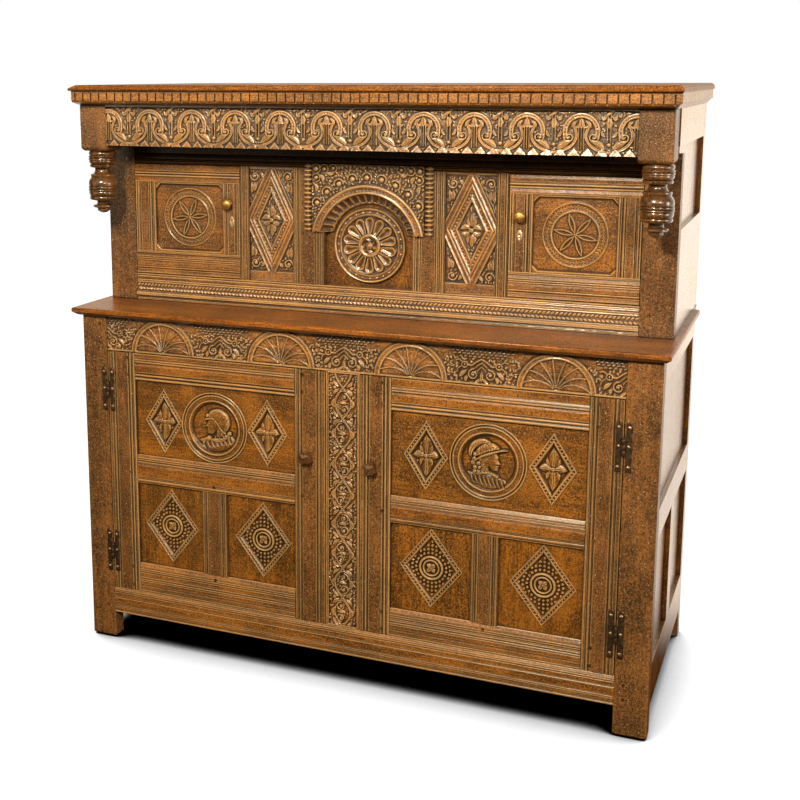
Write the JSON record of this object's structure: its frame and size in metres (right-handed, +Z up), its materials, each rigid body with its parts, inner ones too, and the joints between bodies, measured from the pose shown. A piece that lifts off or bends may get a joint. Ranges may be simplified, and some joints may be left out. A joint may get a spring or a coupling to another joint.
{
  "type": "court cupboard",
  "caption": "Joined oak court cupboard: panelled base with carved doors, recessed upper stage with small doors and an arch, canopy with pendants and dentil cornice.",
  "frame": {"origin": "on the floor under the middle of the bounding box", "axes": "+Z up, front faces -Y, +X to the right seen from the front"},
  "size_m": [1.536, 0.675, 1.506],
  "materials": {
    "oak_frame": "aged dark oak, waxed",
    "oak_panel": "aged dark oak, waxed",
    "oak_carved": "carved dark oak, waxed, worn on the high edges",
    "oak_table": "red-brown polished oak",
    "oak_turned": "turned and polished dark oak",
    "oak_inside": "dry unpolished oak",
    "oak_pegs": "dark oak end grain",
    "wrought_iron": "forged iron, brown with age",
    "brass": "worn polished brass"
  },
  "bodies": {
    "cupboard": {"arch_board": "oak_carved", "arch_reveal": "oak_carved", "base_back": "oak_inside", "base_back_stiles": "oak_frame", "base_bottom_rail": "oak_frame", "base_centre_muntin": "oak_carved", "base_floor_boards": "oak_inside", "base_front_stile_left": "oak_frame", "base_front_stile_right": "oak_frame", "base_side_panels_left": "oak_panel", "base_side_panels_right": "oak_panel", "base_side_rails_left": "oak_frame", "base_side_rails_right": "oak_frame", "corner_blocks": "oak_frame", "cornice": "oak_frame", "frame_pegs": "oak_pegs", "frieze_rail": "oak_carved", "hinge_pins": "wrought_iron", "lozenge_panel_left": "oak_carved", "lozenge_panel_right": "oak_carved", "lunette_rail": "oak_carved", "niche_panel": "oak_panel", "pendants": "oak_turned", "rosette": "oak_carved", "soffit_boards": "oak_inside", "spool_strips": "oak_turned", "stile_hinge_leaves": "wrought_iron", "table_board": "oak_table", "top_boards": "oak_table", "twist_rail": "oak_carved", "upper_back": "oak_inside", "upper_back_stiles": "oak_frame", "upper_front_stile_left": "oak_frame", "upper_front_stile_right": "oak_frame", "upper_muntins": "oak_frame", "upper_side_panels": "oak_panel", "upper_side_rails": "oak_frame", "upper_top_rail": "oak_frame"},
    "left_door": {"left_door_frame": "oak_frame", "left_door_panels": "oak_carved", "left_door_hinge_leaves": "wrought_iron", "left_door_pegs": "oak_pegs"},
    "left_catch": {"left_door_turn_knob": "oak_turned", "left_door_catch_tongue": "oak_turned"},
    "right_door": {"right_door_frame": "oak_frame", "right_door_panels": "oak_carved", "right_door_hinge_leaves": "wrought_iron", "right_door_pegs": "oak_pegs"},
    "right_catch": {"right_door_turn_knob": "oak_turned", "right_door_catch_tongue": "oak_turned"},
    "upper_left_door": {"upper_left_door_frame": "oak_frame", "upper_left_door_panel": "oak_carved", "upper_left_door_knob": "brass", "upper_left_door_irons": "wrought_iron"},
    "upper_left_bolt": {"upper_left_door_bolt": "wrought_iron"},
    "upper_right_door": {"upper_right_door_frame": "oak_frame", "upper_right_door_panel": "oak_carved", "upper_right_door_knob": "brass", "upper_right_door_irons": "wrought_iron"},
    "upper_right_bolt": {"upper_right_door_bolt": "wrought_iron"}
  },
  "joints": [
    {"name": "left_door_hinge", "type": "hinge", "parent": "cupboard", "child": "left_door", "pos_m": [-0.67725, -0.3075, 0.48], "axis": [0, 0, -1], "range_deg": [0, 165]},
    {"name": "left_catch_turn", "type": "hinge", "parent": "left_door", "child": "left_catch", "pos_m": [-0.104, -0.3025, 0.588], "axis": [0, -1, 0], "range_deg": [0, 90]},
    {"name": "right_door_hinge", "type": "hinge", "parent": "cupboard", "child": "right_door", "pos_m": [0.67025, -0.3075, 0.48], "axis": [0, 0, 1], "range_deg": [0, 165]},
    {"name": "right_catch_turn", "type": "hinge", "parent": "right_door", "child": "right_catch", "pos_m": [0.067, -0.3025, 0.581], "axis": [0, 1, 0], "range_deg": [0, 90]},
    {"name": "upper_left_door_pivot", "type": "hinge", "parent": "cupboard", "child": "upper_left_door", "pos_m": [-0.6585, -0.1445, 1.15], "axis": [0, 0, -1], "range_deg": [0, 90]},
    {"name": "upper_left_bolt_slide", "type": "slide", "parent": "upper_left_door", "child": "upper_left_bolt", "axis": [1, 0, 0], "range_m": [0, 0.01]},
    {"name": "upper_right_door_pivot", "type": "hinge", "parent": "cupboard", "child": "upper_right_door", "pos_m": [0.6595, -0.1445, 1.15], "axis": [0, 0, 1], "range_deg": [0, 90]},
    {"name": "upper_right_bolt_slide", "type": "slide", "parent": "upper_right_door", "child": "upper_right_bolt", "axis": [-1, 0, 0], "range_m": [0, 0.01]}
  ]
}
